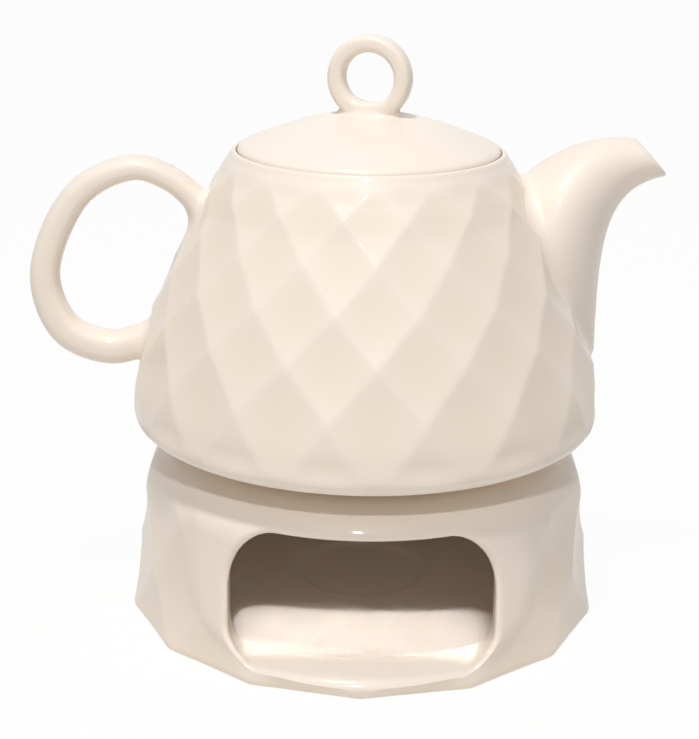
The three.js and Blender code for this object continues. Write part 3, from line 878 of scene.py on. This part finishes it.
# %% Spout skin
LIP_SHARE = 0.025
LIP_STEPS = 8
SPOUT_STEPS = 40
CHANNEL_STEPS = 30
SPOUT_SEARCH = (0.6, -0.2)
SPOUT_FILLET = (4.5, 7.5)
SPOUT_SUNK = 1.0
columns = []
for j in range(AROUND):
    a = 2 * math.pi * j / AROUND
    over = max(math.cos(a), 0.0) ** 3
    leave, join = luted(
        lambda t: spout_point(a, t), *SPOUT_SEARCH, mix(*SPOUT_FILLET, over), spout_centre)
    column = [on_skin(join[-1], -SPOUT_SUNK), *reversed(join)]
    for k in range(1, SPOUT_STEPS + 1):
        column.append(spout_point(a, mix(leave, 1 - LIP_SHARE, k / SPOUT_STEPS)))
    for k in range(1, LIP_STEPS):
        phi = math.pi * k / LIP_STEPS
        t = 1 - LIP_SHARE * (1 - math.sin(phi))
        outer, inner = spout_point(a, t), spout_point(a, t, SPOUT_WALL)
        column.append(outer.lerp(inner, (1 - math.cos(phi)) / 2))
    sunk = meeting(lambda t: spout_point(a, t, SPOUT_WALL), *SPOUT_SEARCH, depth=SPOUT_SUNK)
    for k in range(CHANNEL_STEPS + 1):
        column.append(spout_point(a, mix(1 - LIP_SHARE, sunk, k / CHANNEL_STEPS), SPOUT_WALL))
    column.append(column[0])
    columns.append(column)
spout = slab("spout", [list(row) for row in zip(*columns)])
finished(spout, "spout_porcelain", "pot", ["spout"], POT_TURN)

# %% [markdown]
# ## The handle
#
# A loop with a softly squared oval section, thin where it leaves the shoulder and thicker where
# it comes back to the belly. A bevelled curve could make it, but its ends would poke bluntly
# into the pot. Here the same smooth line is sampled and the oval is carried along it, with
# luted ends. The upper end spreads downwards into a small web, as the photograph shows.

# %% Handle line
HANDLE_TOP = RIM_TOP - 9.7
HANDLE_LOW = POT_BOTTOM + 33.6
HANDLE_REACH = 27.7
HANDLE_START = [(-1.5, 14.5), (7.2, 6.6), (14.6, 0.6)]
HANDLE_SHARES = [(0.46, 1.054), (0.782, 0.904), (1, 0.413), (0.887, 0.08), (0.634, -0.028)]
HANDLE_END = [(1.5, 0.0), (-7.0, 3.0)]
HANDLE_THICKNESS = (8.0, 9.8, 11.2)
HANDLE_DEPTH = 12.5
HANDLE_SQUARENESS = 0.78
EVEN_SPAN = (0.2, 0.5)
THICK_SPAN = (0.6, 0.85)
LINE_STEPS = 600
HALF_PROBE = 0.004
top_wall, low_wall = pot_line(HANDLE_TOP), pot_line(HANDLE_LOW)
across = BELLY_RADIUS + HANDLE_REACH - top_wall
handle_points = [
    *(Vector((-top_wall - out, 0, HANDLE_TOP - drop)) for out, drop in HANDLE_START),
    *(Vector((-top_wall - across * out, 0, mix(HANDLE_LOW, HANDLE_TOP, up_share)))
      for out, up_share in HANDLE_SHARES),
    *(Vector((-low_wall - out, 0, HANDLE_LOW + lift)) for out, lift in HANDLE_END),
]


def through(points, t):
    """A point on the smooth line through all the points, for t from 0 to 1."""
    spot = min(max(t, 0.0), 1.0) * (len(points) - 1)
    i = min(int(spot), len(points) - 2)
    w = spot - i
    b, c = points[i], points[i + 1]
    a = points[i - 1] if i > 0 else b * 2 - c
    d = points[i + 2] if i + 2 < len(points) else c * 2 - b
    ab, bc, cd = (math.sqrt((q - p).length) for p, q in ((a, b), (b, c), (c, d)))
    first = ((b - a) / ab - (c - a) / (ab + bc) + (c - b) / bc) * bc
    last = ((c - b) / bc - (d - b) / (bc + cd) + (d - c) / cd) * bc
    return (b + first * w + (c * 3 - b * 3 - first * 2 - last) * w * w
            + (b * 2 - c * 2 + first + last) * w ** 3)


fine = [through(handle_points, i / LINE_STEPS) for i in range(LINE_STEPS + 1)]
runs = [0.0]
for p, q in zip(fine, fine[1:]):
    runs.append(runs[-1] + (q - p).length)


def handle_centre(t):
    """A point on the line at a share of its length."""
    want = min(max(t, 0.0), 1.0) * runs[-1]
    low, high = 0, len(runs) - 1
    while high - low > 1:
        middle = (low + high) // 2
        low, high = (middle, high) if runs[middle] <= want else (low, middle)
    return fine[low].lerp(fine[high], (want - runs[low]) / (runs[high] - runs[low]))


def handle_point(turned, t):
    """A point on the handle, turned round its section at a share of its length."""
    along = (handle_centre(t + HALF_PROBE) - handle_centre(t - HALF_PROBE)).normalized()
    thin, even, thick = HANDLE_THICKNESS
    half = mix(mix(thin, even, smoothstep(t, *EVEN_SPAN)), thick, smoothstep(t, *THICK_SPAN)) / 2
    c = squared(math.cos(turned), HANDLE_SQUARENESS)
    s = squared(math.sin(turned), HANDLE_SQUARENESS)
    out = Vector((along.z, 0, -along.x)) * half * c
    return handle_centre(t) + out + Vector((0, HANDLE_DEPTH / 2 * s, 0))


print("handle's line:", round(runs[-1], 1), "mm long")


# %% [markdown]
# The skin again runs in columns along the piece. Each column finds the pot's wall at both ends
# by itself, so the joins follow the dishes that they land on.

# %% Handle skin
HANDLE_FILLET = (3.5, 8.0)
HANDLE_SUNK = 1.2
HANDLE_STEPS = 90
columns = []
for j in range(AROUND):
    a = 2 * math.pi * j / AROUND
    under = (1 - math.cos(a)) / 2
    upper_leave, upper_join = luted(
        lambda t: handle_point(a, t), 0.3, 0.0, mix(*HANDLE_FILLET, under ** 2), handle_centre)
    lower_leave, lower_join = luted(
        lambda t: handle_point(a, t), 0.8, 1.0, HANDLE_FILLET[0], handle_centre)
    column = [on_skin(upper_join[-1], -HANDLE_SUNK), *reversed(upper_join)]
    for k in range(1, HANDLE_STEPS):
        column.append(handle_point(a, mix(upper_leave, lower_leave, k / HANDLE_STEPS)))
    column += [*lower_join, on_skin(lower_join[-1], -HANDLE_SUNK)]
    columns.append(column)
handle = slab("handle", [list(row) for row in zip(*columns)], ends="filled")
finished(handle, "handle_porcelain", "pot", ["handle"], POT_TURN)

# %% [markdown]
# ## The lid
#
# A shallow dome on a round edge, with a skirt inside the neck to keep it on while pouring and
# a steam hole towards the back. The skirt and the hole can't be seen, and are taken from how
# such lids are made. A squashed ball could give the dome, but not the edge and the skirt. It
# is round all over, so one outline is spun, and the hole is cut with a cylinder.

# %% Lid
COVER_TURN = math.radians(-14)
LID_RADIUS = 43.4
LID_BOTTOM = LEDGE + 0.3
LID_STEPS = 256
CORNER_STEPS = 9
LID_EDGE = 3.0
LID_RISE = 11.1
LID_DIP = 0.45
DOME_TOP = LID_BOTTOM + LID_EDGE + LID_RISE
DOME_RADIUS = (LID_RADIUS ** 2 + LID_RISE ** 2) / (2 * LID_RISE)
DOME_END = 39.6
SKIRT_RADIUS = NECK_RADIUS - 0.7
SKIRT_DEPTH = 10
BORE_RADIUS = SKIRT_RADIUS - 3.2
LID_WALL = 3.6
STEAM_HOLE_OUT = 22
STEAM_HOLE_RADIUS = 1.6


def dome(r, wall=0.0):
    """Height of the dome at a radius, a little straighter than a ball between top and edge."""
    dip = LID_DIP * math.sin(math.pi * min(r / LID_RADIUS, 1.0) ** 2) ** 2
    return DOME_TOP - DOME_RADIUS + math.sqrt((DOME_RADIUS - wall) ** 2 - r * r) - dip


under_dome = [(BORE_RADIUS * i / 12, dome(BORE_RADIUS * i / 12, LID_WALL), 0) for i in range(12)]
over_dome = [(DOME_END * (1 - i / 24), dome(DOME_END * (1 - i / 24)), 0) for i in range(25)]
lid = joined([spun("lid", softened([
    *under_dome,
    (BORE_RADIUS, dome(BORE_RADIUS, LID_WALL) - 0.8, 2.5),
    (BORE_RADIUS, LID_BOTTOM - SKIRT_DEPTH, 1.4),
    (SKIRT_RADIUS, LID_BOTTOM - SKIRT_DEPTH, 1.4),
    (SKIRT_RADIUS, LID_BOTTOM, 0.6),
    (LID_RADIUS, LID_BOTTOM, 0.9),
    (LID_RADIUS, dome(LID_RADIUS) + 0.2, 3.2),
    *over_dome,
], CORNER_STEPS), LID_STEPS)])
bpy.ops.mesh.primitive_cylinder_add(
    vertices=24, radius=STEAM_HOLE_RADIUS, depth=14,
    location=(0, STEAM_HOLE_OUT, dome(STEAM_HOLE_OUT)))
bpy.ops.object.transform_apply(location=True, rotation=True, scale=True)
cut(lid, bpy.context.object)
finished(lid, "lid_porcelain", "cover", ["lid"], COVER_TURN)

# %% [markdown]
# ## The ring knob
#
# A soft, flat-sided ring that stands on a small foot. The ring is spun and the foot is a short
# oval post that spreads on the dome. They could be joined by a boolean, but that leaves a hard
# crease. Fused by a remesh and smoothed, they get the rounded creases of thick glaze.

# %% Ring knob
RING_RADIUS = 14.0
RING_THICKNESS = 5.7
RING_DEPTH = 8.0
RING_MIDDLE = DOME_TOP + 11.4
RING_SQUARENESS = 0.62
RING_POINTS = 40
RING_STEPS = 128
POST_HALF = (9.0, 3.6)
POST_FLARE = (2.0, 1.2)
POST_RISE = 4.4
POST_POINTS = 48
bpy.ops.object.select_all(action="DESELECT")
bpy.ops.mesh.primitive_circle_add(vertices=RING_POINTS, radius=1)
ring = bpy.context.object
middle_radius = RING_RADIUS - RING_THICKNESS / 2
for i, vert in enumerate(ring.data.vertices):
    a = 2 * math.pi * i / RING_POINTS
    x = middle_radius + RING_THICKNESS / 2 * squared(math.cos(a), RING_SQUARENESS)
    y = RING_DEPTH / 2 * squared(math.sin(a), RING_SQUARENESS)
    vert.co = (x, y, RING_MIDDLE)
with editing(ring):
    bpy.ops.mesh.spin(
        steps=RING_STEPS, angle=2 * math.pi, center=(0, 0, RING_MIDDLE), axis=(0, 1, 0))
rows = []
for rise in (-3.0, -1.5, -0.6, 0.4, 1.4, 2.6, POST_RISE):
    flare = (1 - max(rise, -1.0) / POST_RISE) ** 2
    wide, deep = (half + more * flare for half, more in zip(POST_HALF, POST_FLARE))
    turns = [2 * math.pi * k / POST_POINTS for k in range(POST_POINTS)]
    rows.append([
        Vector((wide * math.cos(a), deep * math.sin(a), DOME_TOP + rise)) for a in turns])
post = slab("ring_post", rows, ends="filled")
bpy.ops.mesh.primitive_cylinder_add(
    vertices=96, radius=RING_RADIUS - RING_THICKNESS, depth=30, location=(0, 0, RING_MIDDLE),
    rotation=(math.pi / 2, 0, 0))
bpy.ops.object.transform_apply(location=True, rotation=True, scale=True)
cut(post, bpy.context.object)
ring = joined([ring, post])
modify(ring, "REMESH", mode="VOXEL", voxel_size=0.32)
modify(ring, "SMOOTH", factor=0.5, iterations=14)
finished(ring, "ring_knob_porcelain", "cover", ["lid_ring"], COVER_TURN, 80)

# %% [markdown]
# ## The warmer
#
# A drum with fourteen facets round it, whose wall flares to a foot with a corner under every
# ridge. It has a rounded shoulder, a sunk seat for the pot's foot and a chamber for the tea
# light, and round the window the wall is left smooth. A cone with flat sides could stand in for
# it, but the dishes meet in soft ridges, so the outside is the rolled lattice again.

# %% Warmer outline
WARMER_FACETS = 14
WARMER_HEIGHT = 60.0
WARMER_BASE = 82.0
WARMER_TOP = 76.3
WARMER_SHOULDER = 15.5
WARMER_PRESS = 2.3
BASE_ROUND = 2.4
WARMER_ROWS = (22.0, 44.5)
FIELD_HALF = 54.5
FIELD_FOOT = 4.0
FIELD_SPRING = 35.0
FIELD_POWER = 2.5
FIELD_SCALE = 40
FIELD_BLEND = (-2.0, 5.0)
WARMER_FLARE = 1.3
BASE_START = 0.5
SEAT_RADIUS = FOOT_RADIUS + 0.8
SEAT_LIP = 0.8


def warmer_radius(z):
    """The warmer's ridge radius at a height, shoulder included."""
    if z > WARMER_ROWS[1]:
        over = min(z - WARMER_ROWS[1], WARMER_SHOULDER)
        return WARMER_TOP - WARMER_SHOULDER + math.sqrt(WARMER_SHOULDER ** 2 - over ** 2)
    return WARMER_TOP + (WARMER_BASE - WARMER_TOP) * (1 - z / WARMER_ROWS[1]) ** WARMER_FLARE


def outside_field(x, z):
    """0 inside the smooth field round the window, 1 a few millimetres outside it."""
    if z >= FIELD_SPRING:
        edge = abs(x) - FIELD_HALF
    else:
        drop = (FIELD_SPRING - z) / (FIELD_SPRING - FIELD_FOOT)
        reach = (abs(x / FIELD_HALF) ** FIELD_POWER + drop ** FIELD_POWER) ** (1 / FIELD_POWER)
        edge = (reach - 1) * FIELD_SCALE
    return smoothstep(edge, *FIELD_BLEND)


def warmer_place(u, v):
    """Rolls a point of the flat lattice onto the warmer's outside, up to its seat."""
    angle = math.pi * u / WARMER_FACETS
    share = 1.0
    if v <= 2:
        z = max(WARMER_ROWS[0] * v if v < 1 else mix(*WARMER_ROWS, v - 1), BASE_START)
        under = max(0.0, 1 - z / BASE_ROUND)
        r = warmer_radius(z) - BASE_ROUND * (1 - math.sqrt(1 - under * under))
    elif v <= 3:
        a = (v - 2) * math.pi / 2
        r = WARMER_TOP - WARMER_SHOULDER + WARMER_SHOULDER * math.cos(a)
        z = WARMER_ROWS[1] + WARMER_SHOULDER * math.sin(a)
        share = 3 - v
    else:
        r = mix(WARMER_TOP - WARMER_SHOULDER, SEAT_RADIUS + SEAT_LIP, v - 3)
        z = WARMER_HEIGHT
        share = 0.0
    pressed = dish(u, v) * share
    if abs(angle) < math.pi / 2:
        pressed *= outside_field(r * math.sin(angle), z)
    return r - WARMER_PRESS * pressed, z, angle, pressed


warmer = rolled(lattice("warmer_wall", WARMER_FACETS, 4), warmer_place)
warmer_steps = WARMER_FACETS * (CUTS + 1)

# %% [markdown]
# The base is closed by extruding the lattice's lowest edge inwards, in small steps first, so
# that its corner is soft. Filling the opening with one face would be quicker, but a face with
# hundreds of corners shades badly. The seat, the top hole and the chamber are spun in one
# outline. The photograph shows only a faint arc of the tea light's seat, so it is kept shallow.

# %% Warmer base and inside
BASE_CURL = ((0.99, 0.15), (0.988, 0))
BASE_INNER = 60
SEAT_DEPTH = 1.5
TOP_HOLE = 44
CEILING = 54
FLOOR_HEIGHT = 8.0
CHAMBER_TOP, CHAMBER_LOW = 69, 70
LIGHT_SEAT = [(26, FLOOR_HEIGHT, 0.6), (23, FLOOR_HEIGHT, 1.6), (20.5, 6.6, 1.8), (8, 6.4, 0)]
with editing(warmer, "DESELECT"):
    mesh = bmesh.from_edit_mesh(warmer.data)
    for vert in mesh.verts:
        if abs(vert.co.z - BASE_START) < 0.001:
            vert.select = vert.is_boundary
    mesh.select_flush_mode()
    for shrink, z in BASE_CURL:
        bpy.ops.mesh.extrude_edges_move()
        move_selected(warmer, lambda p: Vector((p.x * shrink, p.y * shrink, z)))
    bpy.ops.mesh.extrude_edges_move()
    move_selected(warmer, lambda p: Vector((p.x, p.y, 0)).normalized() * BASE_INNER)
    bpy.ops.mesh.extrude_edges_move()
    move_selected(warmer, lambda p: Vector((0, 0, 0)))
chamber = spun("chamber", softened([
    (SEAT_RADIUS + SEAT_LIP, WARMER_HEIGHT, 0),
    (SEAT_RADIUS, WARMER_HEIGHT, 0.7),
    (SEAT_RADIUS, WARMER_HEIGHT - SEAT_DEPTH, 0.4),
    (TOP_HOLE, WARMER_HEIGHT - SEAT_DEPTH, 1.6),
    (TOP_HOLE, CEILING, 1.6),
    (CHAMBER_TOP, CEILING, 8.0),
    (CHAMBER_LOW, FLOOR_HEIGHT, 3.0),
    *LIGHT_SEAT,
    (0, LIGHT_SEAT[-1][1], 0),
]), warmer_steps)
warmer = joined([warmer, chamber])
print("warmer and its chamber:", len(warmer.data.polygons), "faces")

# %% [markdown]
# The window's edge is rounded over by about three millimetres. A bevel after a cut has to cope
# with whatever edges the cut left, so the rounding is built into the cutter instead: it is a
# plug with the window's outline, whose outer end flares like a trumpet onto the warmer's wall,
# and whose underside follows the sill.

# %% Window
WINDOW_HALF = 42.6
WINDOW_TOP = 50.6
LOW_CORNER = (12.0, 12.0)
HIGH_CORNER = (15.5, 22.0)
SILL_HEIGHT = 5.7
EDGE_OVER = 3.2
SILL_START = 69.0
SILL_RUN = 13.0
SILL_LIFT = 0.3
ARC_STEPS = 16
SIDE_STEPS = 20


def window_outline():
    """Points round the window with their outward directions, as (x, z, out x, out z)."""
    low_x, low_z = WINDOW_HALF - LOW_CORNER[0], SILL_HEIGHT + LOW_CORNER[1]
    high_x, high_z = WINDOW_HALF - HIGH_CORNER[0], WINDOW_TOP - HIGH_CORNER[1]
    corners = [
        (low_x, low_z, LOW_CORNER, -90),
        (high_x, high_z, HIGH_CORNER, 0),
        (-high_x, high_z, HIGH_CORNER, 90),
        (-low_x, low_z, LOW_CORNER, 180),
    ]
    points = []
    for i, (cx, cz, (wide, tall), start) in enumerate(corners):
        for k in range(ARC_STEPS + 1):
            a = math.radians(start + 90 * k / ARC_STEPS)
            c, s = math.cos(a), math.sin(a)
            out = Vector((c / wide, s / tall)).normalized()
            points.append((cx + wide * c, cz + tall * s, out.x, out.y))
        nx, nz, (next_wide, next_tall), next_start = corners[(i + 1) % 4]
        a = math.radians(next_start)
        ahead = (nx + next_wide * math.cos(a), nz + next_tall * math.sin(a))
        here = points[-1]
        for k in range(1, SIDE_STEPS):
            x, z = (mix(here[n], ahead[n], k / SIDE_STEPS) for n in (0, 1))
            points.append((x, z, here[2], here[3]))
    return points


def sill(r):
    """Height of the sill at a radius. Inside the chamber it lifts clear of the floor."""
    if r < SILL_START:
        return FLOOR_HEIGHT + SILL_LIFT * (SILL_START - r)
    return FLOOR_HEIGHT - (r - SILL_START) * (FLOOR_HEIGHT - SILL_HEIGHT) / SILL_RUN


print("window:", 2 * WINDOW_HALF, "by", round(WINDOW_TOP - SILL_HEIGHT, 1), "mm")


# %% [markdown]
# Each ring of the plug is the window's outline, moved outwards and set back by its own amounts.
# The first two stand in front of the wall, the next eleven make the rounding, and the rest run
# back into the chamber.

# %% Window plug
FLARE_STEPS = 10
FLARE_EXTRA = 0.6
PLUG_FRONT = -WARMER_BASE - 12
PLUG_BACK = -38.0
PLUG_DEPTHS = (1.5, 3.0, 5.0, 7.0, 9.0, 11.0, 13.0, 15.0)
outline = window_outline()
rings = [(EDGE_OVER + FLARE_EXTRA, "front"), (EDGE_OVER + FLARE_EXTRA, -1.5)]
for k in range(FLARE_STEPS + 1):
    phi = math.pi / 2 * k / FLARE_STEPS
    rings.append((EDGE_OVER * (1 - math.sin(phi)), EDGE_OVER * (1 - math.cos(phi)) - 0.05))
rings += [(0.0, EDGE_OVER + depth) for depth in PLUG_DEPTHS]
rings += [(0.0, "back")]
rows = []
for offset, depth in rings:
    row = []
    for x, z, nx, nz in outline:
        px, pz = x + nx * offset, z + nz * offset
        if depth == "front":
            y = PLUG_FRONT
        elif depth == "back":
            y = PLUG_BACK
        else:
            y = depth - math.sqrt(warmer_radius(max(pz, 0.0)) ** 2 - px * px)
        low = sill(min(math.hypot(x, y), WARMER_BASE))
        row.append(Vector((px, y, max(pz, low + min(nz, 0.0) * offset))))
    rows.append(row)
plug = slab("window_plug", rows, ends="filled")
cut(warmer, plug)
finished(warmer, "warmer_porcelain", "warmer_stand", ["warmer"])
